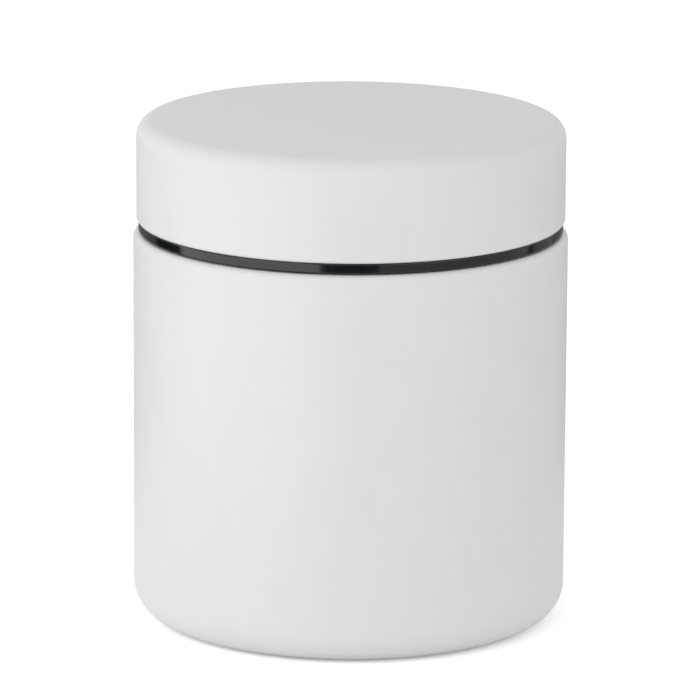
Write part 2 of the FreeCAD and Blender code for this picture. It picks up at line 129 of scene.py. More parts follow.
class JarSizes(bpy.types.PropertyGroup):
    """Sheets, rounds and thread of the jar and its lid."""

    shell_wall: length("Shell wall", "Sheet of the outer shell", 0.6 * MM)
    shoulder_height: length("Shoulder height", "Floor to the flat shoulder", LINER_LOW.z - 0.3 * MM)
    shoulder_round: length("Shoulder round", "Outside radius of the shoulder's edge", 1.5 * MM)
    base_round: length("Base round", "Outside radius of the bottom edge", 7.3 * MM)
    base_lip: length("Base lip", "Flat ring turned in under the jar", 7.6 * MM)
    recess_margin: length("Recess margin", "Step to the foot's recess, inside the round", 0.8 * MM)
    recess_depth: length("Recess depth", "Depth of the foot's recess", 0.8 * MM)
    recess_round: length("Recess round", "Edges of the foot's recess", 0.3 * MM)
    neck_round: length("Neck round", "Radius where the shoulder turns up", 0.8 * MM)
    mouth_step: length("Mouth step", "Inside of the vessel from the neck's outside", 2.5 * MM)
    vessel_wall: length("Vessel wall", "Sheet of the food vessel", 0.5 * MM)
    vessel_corner: length("Vessel corner", "Inside radius at the vessel's floor", 9.0 * MM)
    thread_lead: length("Thread lead", "Rise of the thread in one turn", 4.5 * MM)
    thread_depth: length("Thread depth", "Height of a thread ridge", 1.2 * MM)
    thread_root: length("Thread root", "Width of a ridge at its root", 2.2 * MM)
    thread_crest: length("Thread crest", "Width of a ridge at its crest", 1.0 * MM)
    neck_thread_start: length("Neck thread start",
                              "Start of the neck's ridge above the shoulder", 2.4 * MM)
    neck_thread_rise: length("Neck thread rise", "Rise of the neck's ridge", 4.6 * MM)
    lid_thread_drop: length("Lid thread drop", "Lid's ridge below the neck's ridge", 1.75 * MM)
    lid_thread_start: length("Lid thread start",
                             "Rise along the helix before the lid's ridge", 1.3 * MM)
    lid_thread_rise: length("Lid thread rise", "Rise of the lid's ridge", 4.5 * MM)
    lid_round: length("Lid round", "Outside radius of the lid's top edge", 3.7 * MM)
    lid_hem: length("Lid hem", "Outside radius of the lid's bottom edge", 0.8 * MM)
    cover_wall: length("Cover wall", "Wall of the lid's cover", 1.6 * MM)
    liner_fit: length("Liner fit", "Play between the liner and the cover", 0.1 * MM)
    liner_wall: length("Liner wall", "Wall of the liner", 1.45 * MM)
    liner_roof: length("Liner roof", "Roof of the liner", 1.5 * MM)
    ring_round: length("Ring round", "Edges of the black ring", 0.35 * MM)
    bead_reach: length("Snap bead reach", "Snap bead that holds the sealing plate", 1.1 * MM)
    bead_height: length("Snap bead height", "Snap bead that holds the sealing plate", 0.8 * MM)
    plate_play: length("Plate play", "Running play round the sealing plate", 0.3 * MM)
    plate_sheet: length("Plate wall", "Wall of the sealing plate", 1.3 * MM)
    plug_round: length("Plug round", "Bottom edge of the plug", 1.8 * MM)
    gasket_lip: length("Gasket lip", "Depth of the groove between the gasket's two lips", 0.5 * MM)
    pad_groove: length("Foot groove", "Depth of the rings moulded in the foot pad", 0.25 * MM)
    turns: IntProperty(name="Steps round", description="Straight steps in one turn of a round part",
                       default=256, min=64, max=512)


class JarFinish(bpy.types.PropertyGroup):
    """Colours and surface textures."""

    coat_colour: colour("Coat colour", "Matte coat of the body and the lid", (0.80, 0.80, 0.79))
    coat_roughness: FloatProperty(name="Coat roughness", description="Roughness of the matte coat",
                                  default=0.55, min=0, max=1, subtype="FACTOR")
    coat_grain: length("Coat grain", "Size of the grain of the sprayed coat", 0.45 * MM, precision=5)
    coat_grain_depth: length("Coat grain depth", "Height of the coat's grain", 0.012 * MM, precision=6)
    ring_colour: colour("Ring colour", "Glossy moulded ring and liner", (0.008, 0.0105, 0.012))
    ring_roughness: FloatProperty(name="Ring roughness", description="Roughness of the glossy ring",
                                  default=0.09, min=0, max=1, subtype="FACTOR")
    plate_colour: colour("Plate colour", "Moulded sealing plate", (0.02, 0.021, 0.022))
    steel_colour: colour("Steel colour", "Bare steel", (0.60, 0.59, 0.57))
    foil_colour: colour("Foil colour", "Reflecting foil", (0.80, 0.42, 0.27))
    silicone_colour: colour("Silicone colour", "Sealing gasket", (0.66, 0.67, 0.66))
    foot_colour: colour("Foot colour", "Soft foot pad", (0.62, 0.62, 0.61))


class JarStudio(bpy.types.PropertyGroup):
    """Camera, lamps and floor."""

    distance: length("Camera distance", "Camera from the middle of the jar", 1.375, precision=2)
    tilt: FloatProperty(name="Camera tilt", description="Camera above the horizon",
                        default=math.radians(13.24), subtype="ANGLE")
    roll: FloatProperty(name="Camera roll", description="Camera turned about its line of sight",
                        default=math.radians(0.36), subtype="ANGLE")
    lens: number("Lens", "Focal length in millimetres on a 36 mm sensor", 322.0)
    aim_side: length("Aim to the side", "Aim to the right of the jar's middle", 0.0, precision=5)
    aim_up: length("Aim above", "Aim above the jar's middle", 3.6 * MM, precision=5)
    key_power: number("Key lamp", "Power of the large lamp at front left, in watts", 1.09)
    side_power: number("Side lamp", "Power of the lamp at the left, in watts", 0.62)
    fill_power: number("Fill lamp", "Power of the lamp at front right, in watts", 0.70)
    sky: number("Room light", "Strength of the even light of the room", 0.62)
    floor_tone: number("Floor tone", "How much light the floor sends back", 0.95)
    floor_push: number("Floor push", "Added to the floor's tone where it is seen", 0.35)
    floor_glow: number("Floor glow", "Lift of the floor to white where it is seen", 0.2)
    card_radius: length("Card distance", "Reflected cards from the jar's axis", 0.15, precision=2)
    card_height: length("Card height", "Height of the reflected cards", 0.10, precision=2)


# Shapes

def rounded(corners, step=math.radians(7.5)):
    """Points of an outline of (radius, height, round) corners, each round a true arc.

    Each point is (radius, height, edge), where edge is 1 on a small round and 0 on a flat."""
    points = []
    count = len(corners)
    for i, (radius, height, size) in enumerate(corners):
        here = Vector((radius, height))
        if size <= 0:
            points.append((radius, height, 0.0))
            continue
        before = (Vector(corners[i - 1][:2]) - here).normalized()
        after = (Vector(corners[(i + 1) % count][:2]) - here).normalized()
        inside = before.angle(after)
        reach = size / math.tan(inside / 2)
        centre = here + (before + after).normalized() * (size / math.sin(inside / 2))
        first = here + before * reach - centre
        last = here + after * reach - centre
        sweep = math.pi - inside
        way = 1.0 if first.x * last.y - first.y * last.x > 0 else -1.0
        steps = max(4, math.ceil(sweep / step))
        start = math.atan2(first.y, first.x)
        for k in range(steps + 1):
            angle = start + way * sweep * k / steps
            points.append((centre.x + size * math.cos(angle), centre.y + size * math.sin(angle),
                           min(1.0, WORN_ROUND / size)))
    return points


def with_rows(points, low, high, spacing):
    """The outline with extra points on its upright runs between two heights."""
    out = []
    count = len(points)
    for i, point in enumerate(points):
        out.append(point)
        following = points[(i + 1) % count]
        upright = abs(point[0] - following[0]) < TOUCH
        run = abs(following[1] - point[1])
        apart = min(point[1], following[1]) > high or max(point[1], following[1]) < low
        if not upright or run < spacing or apart:
            continue
        rows = math.ceil(run / spacing)
        for k in range(1, rows):
            share = k / rows
            out.append((point[0], point[1] + (following[1] - point[1]) * share, 0.0))
    return out


def turned(name, points, steps, closed=True):
    """A round mesh of the outline turned about Z, with its texture grid and an edge attribute."""
    bm = bmesh.new()
    edge_layer = bm.verts.layers.float.new("edge")
    grid = bm.loops.layers.uv.new("around")
    rings = []
    along = [0.0]
    for radius, height, edge in points:
        ring = []
        if radius < TOUCH:
            pole = bm.verts.new((0.0, 0.0, height))
            pole[edge_layer] = edge
            ring = [pole] * steps
        else:
            for k in range(steps):
                angle = 2 * math.pi * k / steps
                vert = bm.verts.new((radius * math.cos(angle), radius * math.sin(angle), height))
                vert[edge_layer] = edge
                ring.append(vert)
        rings.append(ring)
    count = len(points)
    for i in range(count):
        near, far = points[i], points[(i + 1) % count]
        along.append(along[-1] + math.hypot(far[0] - near[0], far[1] - near[1]))
    for i in range(count if closed else count - 1):
        lower, upper = rings[i], rings[(i + 1) % count]
        if lower[0] is lower[1] and upper[0] is upper[1]:
            continue
        for k in range(steps):
            following = (k + 1) % steps
            verts = [lower[k], lower[following], upper[following], upper[k]]
            spots = [(k, along[i]), (k + 1, along[i]), (k + 1, along[i + 1]), (k, along[i + 1])]
            kept = [n for n, vert in enumerate(verts) if vert not in verts[:n]]
            face = bm.faces.new([verts[n] for n in kept])
            face.smooth = True
            for loop, n in zip(face.loops, kept):
                loop[grid].uv = (spots[n][0] / steps, spots[n][1] / GRID_HEIGHT)
    bmesh.ops.recalc_face_normals(bm, faces=bm.faces)
    mesh = bpy.data.meshes.new(name)
    bm.to_mesh(mesh)
    bm.free()
    mesh.set_sharp_from_angle(angle=SHARP_FROM)
    piece = bpy.data.objects.new(name, mesh)
    bpy.context.scene.collection.objects.link(piece)
    return piece


def wind_ridge(piece, radius, outward, start, rise, sizes, low, high):
    """Raises a right-handed thread ridge on the upright wall of this radius, run out at its ends.

    It moves the points of the wall between the heights low and high, by +1 outward or -1 inward."""
    half_crest = sizes.thread_crest / 2
    half_root = sizes.thread_root / 2
    turns = rise / sizes.thread_lead
    for vert in piece.data.vertices:
        across = math.hypot(vert.co.x, vert.co.y)
        if abs(across - radius) > 10 * TOUCH or not low < vert.co.z < high:
            continue
        share = math.atan2(vert.co.y, vert.co.x) / (2 * math.pi) % 1.0
        height = 0.0
        for winding in range(math.ceil(turns) + 1):
            progress = share + winding
            if not 0 <= progress <= turns:
                continue
            off = abs(vert.co.z - start - sizes.thread_lead * progress)
            flank = min(1.0, max(0.0, (half_root - off) / (half_root - half_crest)))
            flank = flank * flank * (3 - 2 * flank)
            fade = min(1.0, progress / THREAD_RUN_OUT, (turns - progress) / THREAD_RUN_OUT)
            height = max(height, flank * fade * fade * (3 - 2 * fade))
        reach = (across + outward * height * sizes.thread_depth) / across
        vert.co.x *= reach
        vert.co.y *= reach


def dress(piece, body, slot, nodes, *materials):
    """Puts the piece on its body, in place of its parts of the frame, with its materials."""
    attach(piece, body)
    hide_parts(*nodes)
    for material in materials:
        piece.data.materials.append(material)
    return piece


# Shader groups

def new_group(name, inputs, outputs):
    """A new shader group with inputs (name, kind, default) and outputs (name, kind), and its end nodes.

    A group that is there already comes back without end nodes."""
    group = bpy.data.node_groups.get(name)
    if group:
        return group, None, None
    group = bpy.data.node_groups.new(name, "ShaderNodeTree")
    for label, kind, default in inputs:
        socket = group.interface.new_socket(name=label, in_out="INPUT", socket_type=kind)
        socket.default_value = default
    for label, kind in outputs:
        group.interface.new_socket(name=label, in_out="OUTPUT", socket_type=kind)
    return group, group.nodes.new("NodeGroupInput"), group.nodes.new("NodeGroupOutput")


def noise_in(group, scale, coordinate, detail, roughness):
    """The output of a noise texture at a coordinate. The scale is a number or a socket."""
    noise = group.nodes.new("ShaderNodeTexNoise")
    noise.inputs["Detail"].default_value = detail
    noise.inputs["Roughness"].default_value = roughness
    group.links.new(coordinate, noise.inputs["Vector"])
    put(group, scale, noise.inputs["Scale"])
    return noise.outputs["Fac"]


def put(tree, value, socket):
    """Gives an input its value, a number or the socket that feeds it."""
    if isinstance(value, (int, float)):
        socket.default_value = value
    else:
        tree.links.new(value, socket)


def math_in(tree, operation, first, second):
    """A math node of a tree. Each side is a number or a socket."""
    node = tree.nodes.new("ShaderNodeMath")
    node.operation = operation
    for socket, value in zip(node.inputs, (first, second)):
        put(tree, value, socket)
    return node.outputs[0]


def stretched(tree, value, low, high):
    """0 where the value is low and 1 where it is high."""
    node = tree.nodes.new("ShaderNodeMapRange")
    node.inputs["From Min"].default_value = low
    node.inputs["From Max"].default_value = high
    tree.links.new(value, node.inputs["Value"])
    return node.outputs["Result"]


def piece_space(tree):
    """The point's place in its piece, in metres."""
    return tree.nodes.new("ShaderNodeTexCoord").outputs["Object"]


def grain_group():
    """Sprayed or moulded grain: a height, from its size in metres."""
    group, start, end = new_group(
        "Surface grain",
        [("Size", "NodeSocketFloat", 0.5 * MM), ("Pits", "NodeSocketFloat", 0.3)],
        [("Height", "NodeSocketFloat")],
    )
    if start is None:
        return group
    place = piece_space(group)
    scale = math_in(group, "DIVIDE", 1.0, start.outputs["Size"])
    bumps = noise_in(group, scale, place, 2.0, 0.55)
    pits = group.nodes.new("ShaderNodeTexVoronoi")
    pits.feature = "SMOOTH_F1"
    group.links.new(place, pits.inputs["Vector"])
    group.links.new(math_in(group, "MULTIPLY", scale, 0.8), pits.inputs["Scale"])
    part = math_in(group, "MULTIPLY", pits.outputs["Distance"], start.outputs["Pits"])
    total = math_in(group, "SUBTRACT", bumps, part)
    group.links.new(total, end.inputs["Height"])
    return group


def handling_group():
    """Faint marks of handling: a mask from 0 to 1, cloudy and a little streaked."""
    group, start, end = new_group(
        "Handling marks",
        [("Cloud size", "NodeSocketFloat", 22 * MM), ("Streak size", "NodeSocketFloat", 3 * MM)],
        [("Mask", "NodeSocketFloat")],
    )
    if start is None:
        return group
    place = piece_space(group)
    cloud_scale = math_in(group, "DIVIDE", 1.0, start.outputs["Cloud size"])
    clouds = noise_in(group, cloud_scale, place, 3.0, 0.6)
    squeeze = group.nodes.new("ShaderNodeMapping")
    squeeze.inputs["Scale"].default_value = (1.0, 1.0, 0.25)
    squeeze.inputs["Rotation"].default_value = (0.5, 0.3, 0.0)
    group.links.new(place, squeeze.inputs["Vector"])
    streak_scale = math_in(group, "DIVIDE", 1.0, start.outputs["Streak size"])
    streaks = noise_in(group, streak_scale, squeeze.outputs["Vector"], 2.0, 0.5)
    both = math_in(group, "MULTIPLY", clouds, streaks)
    group.links.new(stretched(group, both, 0.18, 0.38), end.inputs["Mask"])
    return group


def edge_group():
    """Rubbed edges: a mask that is 1 where a small round is worn, broken up by noise."""
    group, start, end = new_group(
        "Rubbed edges",
        [("Break-up size", "NodeSocketFloat", 2 * MM), ("Amount", "NodeSocketFloat", 0.5)],
        [("Mask", "NodeSocketFloat")],
    )
    if start is None:
        return group
    place = piece_space(group)
    edge = group.nodes.new("ShaderNodeAttribute")
    edge.attribute_name = "edge"
    patch_scale = math_in(group, "DIVIDE", 1.0, start.outputs["Break-up size"])
    patches = noise_in(group, patch_scale, place, 3.0, 0.6)
    broken = stretched(group, patches, 0.42, 0.62)
    worn = math_in(group, "MULTIPLY", edge.outputs["Fac"], broken)
    group.links.new(math_in(group, "MULTIPLY", worn, start.outputs["Amount"]), end.inputs["Mask"])
    return group


def brushed_group():
    """Brushing round a turned part: a height of fine lines that run along the around grid."""
    group, start, end = new_group(
        "Turned brushing",
        [("Line width", "NodeSocketFloat", 0.08 * MM), ("Line length", "NodeSocketFloat", 20 * MM)],
        [("Height", "NodeSocketFloat")],
    )
    if start is None:
        return group
    grid = group.nodes.new("ShaderNodeUVMap")
    grid.uv_map = "around"
    split = group.nodes.new("ShaderNodeSeparateXYZ")
    group.links.new(grid.outputs["UV"], split.inputs["Vector"])
    join = group.nodes.new("ShaderNodeCombineXYZ")
    turn = math_in(group, "MULTIPLY", split.outputs["X"], 2 * math.pi)
    typical_radius = 40 * MM
    for operation, socket in (("COSINE", "X"), ("SINE", "Y")):
        wave = math_in(group, operation, turn, 0.0)
        radius = math_in(group, "DIVIDE", typical_radius, start.outputs["Line length"])
        group.links.new(math_in(group, "MULTIPLY", wave, radius), join.inputs[socket])
    along = math_in(group, "MULTIPLY", split.outputs["Y"], GRID_HEIGHT)
    group.links.new(math_in(group, "DIVIDE", along, start.outputs["Line width"]), join.inputs["Z"])
    lines = noise_in(group, 1.0, join.outputs["Vector"], 3.0, 0.65)
    group.links.new(lines, end.inputs["Height"])
    return group


# Materials

def new_material(name, tone, roughness, **settings):
    """A material with a Principled shader, and the values that are the same all over it.

    A material that is there already comes back without its tree and shader."""
    material = bpy.data.materials.get(name)
    if material:
        return material, None, None
    material = bpy.data.materials.new(name)
    material.use_nodes = True
    tree = material.node_tree
    shader = tree.nodes["Principled BSDF"]
    shader.inputs["Base Color"].default_value = (*tone, 1.0)
    shader.inputs["Roughness"].default_value = roughness
    for label, value in settings.items():
        shader.inputs[label.replace("_", " ")].default_value = value
    material.diffuse_color = (*tone, 1.0)
    return material, tree, shader


def place_group(tree, group, **values):
    """The output of a group placed in a material, with its own values."""
    node = tree.nodes.new("ShaderNodeGroup")
    node.node_tree = group
    for label, value in values.items():
        node.inputs[label.replace("_", " ")].default_value = value
    return node.outputs[0]


def add_bump(tree, shader, height, depth):
    """Feeds a height, in shares of depth, to the shader's normal."""
    bump = tree.nodes.new("ShaderNodeBump")
    bump.inputs["Strength"].default_value = 1.0
    bump.inputs["Distance"].default_value = depth
    tree.links.new(height, bump.inputs["Height"])
    tree.links.new(bump.outputs["Normal"], shader.inputs["Normal"])


def shaded(tree, mask, low, high):
    """A number that runs from low to high with a mask."""
    node = tree.nodes.new("ShaderNodeMapRange")
    node.inputs["To Min"].default_value = low
    node.inputs["To Max"].default_value = high
    tree.links.new(mask, node.inputs["Value"])
    return node.outputs["Result"]


def vary_colour(tree, shader, mask, first, second):
    """Makes the shader's colour run from the first to the second with a mask."""
    node = tree.nodes.new("ShaderNodeMix")
    node.data_type = "RGBA"
    node.inputs["A"].default_value = (*first, 1.0)
    node.inputs["B"].default_value = (*second, 1.0)
    tree.links.new(mask, node.inputs["Factor"])
    tree.links.new(node.outputs["Result"], shader.inputs["Base Color"])


def vary_roughness(tree, shader, mask, low, high):
    """Makes the shader's roughness run from low to high with a mask."""
    tree.links.new(shaded(tree, mask, low, high), shader.inputs["Roughness"])


def scaled(tone, share):
    """The colour made darker or lighter by a share."""
    return tuple(min(1.0, part * share) for part in tone)


def coat_material():
    """Matte sprayed coat: fine grain, faint handling marks, edges rubbed a little smoother."""
    finish = bpy.context.scene.jar_finish
    material, tree, shader = new_material("matte_coat", finish.coat_colour, finish.coat_roughness,
                                          Specular_IOR_Level=0.35)
    if tree is None:
        return material
    grain = place_group(tree, grain_group(), Size=finish.coat_grain, Pits=0.25)
    marks = place_group(tree, handling_group())
    edges = place_group(tree, edge_group(), Amount=0.6)
    vary_colour(tree, shader, marks, finish.coat_colour, scaled(finish.coat_colour, 0.985))
    clean = shaded(tree, marks, finish.coat_roughness, finish.coat_roughness - 0.05)
    rubbed = math_in(tree, "MULTIPLY", edges, 0.12)
    tree.links.new(math_in(tree, "SUBTRACT", clean, rubbed), shader.inputs["Roughness"])
    add_bump(tree, shader, grain, finish.coat_grain_depth)
    return material


def ring_material():
    """Glossy moulded plastic with hair-fine scuffs."""
    finish = bpy.context.scene.jar_finish
    material, tree, shader = new_material("gloss_ring", finish.ring_colour, finish.ring_roughness,
                                          Specular_IOR_Level=0.5)
    if tree is None:
        return material
    marks = place_group(tree, handling_group(), Cloud_size=9 * MM, Streak_size=1.2 * MM)
    flow = place_group(tree, grain_group(), Size=3.5 * MM, Pits=0.1)
    vary_roughness(tree, shader, marks, finish.ring_roughness, finish.ring_roughness + 0.06)
    vary_colour(tree, shader, marks, finish.ring_colour, scaled(finish.ring_colour, 1.25))
    add_bump(tree, shader, flow, 0.004 * MM)
    return material


def plate_material():
    """Satin moulded plastic with a spark-eroded grain."""
    finish = bpy.context.scene.jar_finish
    material, tree, shader = new_material("satin_plate", finish.plate_colour, 0.42)
    if tree is None:
        return material
    grain = place_group(tree, grain_group(), Size=0.25 * MM, Pits=0.5)
    marks = place_group(tree, handling_group(), Cloud_size=12 * MM)
    edges = place_group(tree, edge_group(), Amount=0.5)
    vary_roughness(tree, shader, marks, 0.38, 0.5)
    vary_colour(tree, shader, edges, finish.plate_colour, scaled(finish.plate_colour, 1.8))
    add_bump(tree, shader, grain, 0.02 * MM)
    return material


def steel_material(name, roughness, line_depth):
    """Bare steel, brushed round the jar's axis. The lines are line_depth deep."""
    finish = bpy.context.scene.jar_finish
    material, tree, shader = new_material(name, finish.steel_colour, roughness, Metallic=1.0)
    if tree is None:
        return material
    lines = place_group(tree, brushed_group())
    marks = place_group(tree, handling_group(), Cloud_size=15 * MM)
    edges = place_group(tree, edge_group(), Amount=0.4)
    dull = shaded(tree, marks, roughness, roughness + 0.1)
    fine = shaded(tree, lines, -0.06, 0.06)
    tree.links.new(math_in(tree, "ADD", dull, fine), shader.inputs["Roughness"])
    vary_colour(tree, shader, edges, finish.steel_colour, scaled(finish.steel_colour, 1.25))
    add_bump(tree, shader, lines, line_depth)
    return material


def sheet_steel_material():
    """Mill-finish steel of the hidden sheet parts, with a faint heat tint."""
    finish = bpy.context.scene.jar_finish
    heat_tint = (0.57, 0.50, 0.40)
    material, tree, shader = new_material("mill_steel", finish.steel_colour, 0.38, Metallic=1.0)
    if tree is None:
        return material
    marks = place_group(tree, handling_group(), Cloud_size=9 * MM)
    grain = place_group(tree, grain_group(), Size=0.3 * MM, Pits=0.4)
    vary_colour(tree, shader, marks, finish.steel_colour, heat_tint)
    vary_roughness(tree, shader, marks, 0.32, 0.5)
    add_bump(tree, shader, grain, 0.01 * MM)
    return material


def foil_material():
    """Thin bright foil, creased by hand."""
    finish = bpy.context.scene.jar_finish
    material, tree, shader = new_material("creased_foil", finish.foil_colour, 0.18, Metallic=1.0)
    if tree is None:
        return material
    place = piece_space(tree)
    creases = tree.nodes.new("ShaderNodeTexVoronoi")
    creases.feature = "DISTANCE_TO_EDGE"
    crease_size = 6 * MM
    creases.inputs["Scale"].default_value = 1 / crease_size
    tree.links.new(place, creases.inputs["Vector"])
    marks = place_group(tree, handling_group(), Cloud_size=8 * MM, Streak_size=1 * MM)
    vary_roughness(tree, shader, marks, 0.14, 0.34)
    vary_colour(tree, shader, marks, finish.foil_colour, scaled(finish.foil_colour, 0.8))
    add_bump(tree, shader, creases.outputs["Distance"], 0.35 * MM)
    return material


def silicone_material(name, tone, roughness, grain_size):
    """Soft silicone: a satin skin that lets a little light in, and holds a little dust."""
    material, tree, shader = new_material(name, tone, roughness,
                                          Subsurface_Weight=0.25, Subsurface_Scale=1.5 * MM)
    if tree is None:
        return material
    grain = place_group(tree, grain_group(), Size=grain_size, Pits=0.3)
    dust = place_group(tree, handling_group(), Cloud_size=6 * MM, Streak_size=1.5 * MM)
    vary_colour(tree, shader, dust, tone, scaled(tone, 0.93))
    vary_roughness(tree, shader, dust, roughness, roughness + 0.15)
    add_bump(tree, shader, grain, 0.015 * MM)
    return material


def foam_material():
    """Closed-cell foam with round cells."""
    tone = (0.78, 0.78, 0.75)
    cell_size = 1.1 * MM
    material, tree, shader = new_material("cell_foam", tone, 0.8)
    if tree is None:
        return material
    place = piece_space(tree)
    cells = tree.nodes.new("ShaderNodeTexVoronoi")
    cells.inputs["Scale"].default_value = 1 / cell_size
    tree.links.new(place, cells.inputs["Vector"])
    vary_colour(tree, shader, cells.outputs["Distance"], tone, scaled(tone, 0.8))
    vary_roughness(tree, shader, cells.outputs["Distance"], 0.7, 0.9)
    add_bump(tree, shader, cells.outputs["Distance"], 0.25 * MM)
    return material


def small_material(name, tone, second, roughness, grain_size, grain_depth, **settings):
    """Finish of a small hidden part: two mottled colours over a grain."""
    material, tree, shader = new_material(name, tone, roughness, **settings)
    if tree is None:
        return material
    grain = place_group(tree, grain_group(), Size=grain_size, Pits=0.5)
    marks = place_group(tree, handling_group(), Cloud_size=5 * MM, Streak_size=1 * MM)
    vary_colour(tree, shader, marks, tone, second)
    vary_roughness(tree, shader, marks, roughness, min(1.0, roughness + 0.12))
    add_bump(tree, shader, grain, grain_depth)
    return material


def paint_node(node, material):
    """Gives a part of the frame its material."""
    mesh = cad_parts[node].data
    mesh.materials.clear()
    mesh.materials.append(material)


# Operators

class JAR_OT_shell(bpy.types.Operator):
    """Outer shell: coated body, shoulder and bottom round, with a bare threaded neck"""

    bl_idname = "jar.shell"
    bl_label = "Outer shell"

    def execute(self, context):
        sizes = context.scene.jar_sizes
        radius = (SHELL_HIGH.y - SHELL_LOW.y) / 2
        wall = sizes.shell_wall
        neck = VESSEL_HIGH.y
        bottom, top = SHELL_LOW.z, SHELL_HIGH.z
        shoulder = sizes.shoulder_height
        lip = radius - sizes.base_round - sizes.base_lip
        step = radius - sizes.base_round - sizes.recess_margin
        seat = bottom + sizes.recess_depth
        lip_edge = 0.15 * MM
        outline = rounded([
            (lip, seat, lip_edge),
            (step, seat, 0.0),
            (step, bottom, sizes.recess_round),
            (radius, bottom, sizes.base_round),
            (radius, shoulder, sizes.shoulder_round),
            (neck, shoulder, sizes.neck_round),
            (neck, top, 0.0),
            (neck - wall, top, 0.0),
            (neck - wall, shoulder - wall, 0.0),
            (radius - wall, shoulder - wall, sizes.shoulder_round - wall),
            (radius - wall, bottom + wall, sizes.base_round - wall),
            (step + wall, bottom + wall, 0.0),
            (step + wall, seat + wall, sizes.recess_round),
            (lip, seat + wall, lip_edge),
        ])
        thread_floor = shoulder + sizes.neck_round
        outline = with_rows(outline, thread_floor, top, THREAD_ROWS)
        piece = turned("shell_coated", outline, sizes.turns)
        begin = shoulder + sizes.neck_thread_start
        wind_ridge(piece, neck, 1.0, begin, sizes.neck_thread_rise, sizes, thread_floor, top)
        dress(piece, "jar_body", "shell_coat", ["outer_shell"], coat_material(),
              steel_material("neck_steel", roughness=0.28, line_depth=0.012 * MM))
        masked = 0.4 * MM
        bare = neck + sizes.thread_depth + masked
        for face in piece.data.polygons:
            across = math.hypot(face.center.x, face.center.y)
            on_neck = face.center.z > shoulder - wall / 2 and across < bare
            if on_neck or across < lip:
                face.material_index = 1
        return {"FINISHED"}


class JAR_OT_vessel(bpy.types.Operator):
    """Food vessel: drawn steel cup, brushed inside, with its lip rolled over the neck"""

    bl_idname = "jar.vessel"
    bl_label = "Food vessel"

    def execute(self, context):
        sizes = context.scene.jar_sizes
        lip = VESSEL_HIGH.y
        inside = lip - sizes.mouth_step
        outside = inside + sizes.vessel_wall
        bottom, rim = VESSEL_LOW.z, VESSEL_HIGH.z
        floor = bottom + sizes.vessel_wall
        lip_thickness = rim - SHELL_HIGH.z
        outline = rounded([
            (0.0, bottom, 0.0),
            (outside, bottom, sizes.vessel_corner + sizes.vessel_wall),
            (outside, rim - lip_thickness, 0.0),
            (lip, rim - lip_thickness, 0.0),
            (lip, rim, lip_thickness / 2),
            (inside, rim, lip_thickness / 2),
            (inside, floor, sizes.vessel_corner),
            (0.0, floor, 0.0),
        ])
        wall_rows = 4 * MM
        outline = with_rows(outline, floor, rim, wall_rows)
        piece = turned("vessel_brushed", outline, sizes.turns, closed=False)
        dress(piece, "jar_body", "vessel_steel", ["inner_vessel"],
              steel_material("vessel_steel", roughness=0.24, line_depth=0.01 * MM))
        return {"FINISHED"}


class JAR_OT_cover(bpy.types.Operator):
    """Lid cover: coated cup with a rounded top edge and a small hem"""

    bl_idname = "jar.cover"
    bl_label = "Lid cover"

    def execute(self, context):
        sizes = context.scene.jar_sizes
        radius = COVER_HIGH.y
        wall = sizes.cover_wall
        bottom, top = COVER_LOW.z, COVER_HIGH.z
        inner_edge = 0.2 * MM
        outline = rounded([
            (0.0, top - wall, 0.0),
            (radius - wall, top - wall, sizes.lid_round - wall),
            (radius - wall, bottom, inner_edge),
            (radius, bottom, sizes.lid_hem),
            (radius, top, sizes.lid_round),
            (0.0, top, 0.0),
        ])
        piece = turned("cover_coated", outline, sizes.turns, closed=False)
        dress(piece, "lid", "lid_coat", ["lid_cover"], coat_material())
        return {"FINISHED"}


class JAR_OT_liner(bpy.types.Operator):
    """Lid liner: glossy ring, threaded skirt, snap bead and roof"""

    bl_idname = "jar.liner"
    bl_label = "Lid liner"

    def execute(self, context):
        sizes = context.scene.jar_sizes
        ring = (LINER_HIGH.y - LINER_LOW.y) / 2
        outside = COVER_HIGH.y - sizes.cover_wall - sizes.liner_fit
        inside = outside - sizes.liner_wall
        bottom, top = LINER_LOW.z, LINER_HIGH.z
        roof = top - sizes.liner_roof
        bead = PLATE_HIGH.z - sizes.plate_sheet - sizes.plate_play
        bead_low = bead - sizes.bead_height / 2
        bead_tip = inside - sizes.bead_reach
        skirt_top = bead_low - sizes.bead_reach
        skirt_edge, roof_edge = 0.2 * MM, 0.4 * MM
        bead_edge, bead_nose, bead_root = 0.2 * MM, 0.15 * MM, 0.3 * MM
        outline = rounded([
            (inside, bottom, skirt_edge),
            (ring, bottom, sizes.ring_round),
            (ring, COVER_LOW.z, sizes.ring_round),
            (outside, COVER_LOW.z, 0.0),
            (outside, top, roof_edge),
            (0.0, top, 0.0),
            (0.0, roof, 0.0),
            (inside, roof, roof_edge),
            (inside, bead, 0.0),
            (bead_tip, bead, bead_edge),
            (bead_tip, bead_low, bead_nose),
            (inside, skirt_top, bead_root),
        ])
        outline = with_rows(outline, bottom, skirt_top, THREAD_ROWS)
        piece = turned("liner_moulded", outline, sizes.turns)
        neck_start = sizes.shoulder_height + sizes.neck_thread_start
        begin = neck_start - sizes.lid_thread_drop + sizes.lid_thread_start
        ahead = sizes.lid_thread_start / sizes.thread_lead
        piece.data.transform(spin(-ahead))
        wind_ridge(piece, inside, -1.0, begin, sizes.lid_thread_rise, sizes, bottom, skirt_top)
        piece.data.transform(spin(ahead))
        dress(piece, "lid", "ring_black", ["lid_liner"], ring_material())
        return {"FINISHED"}


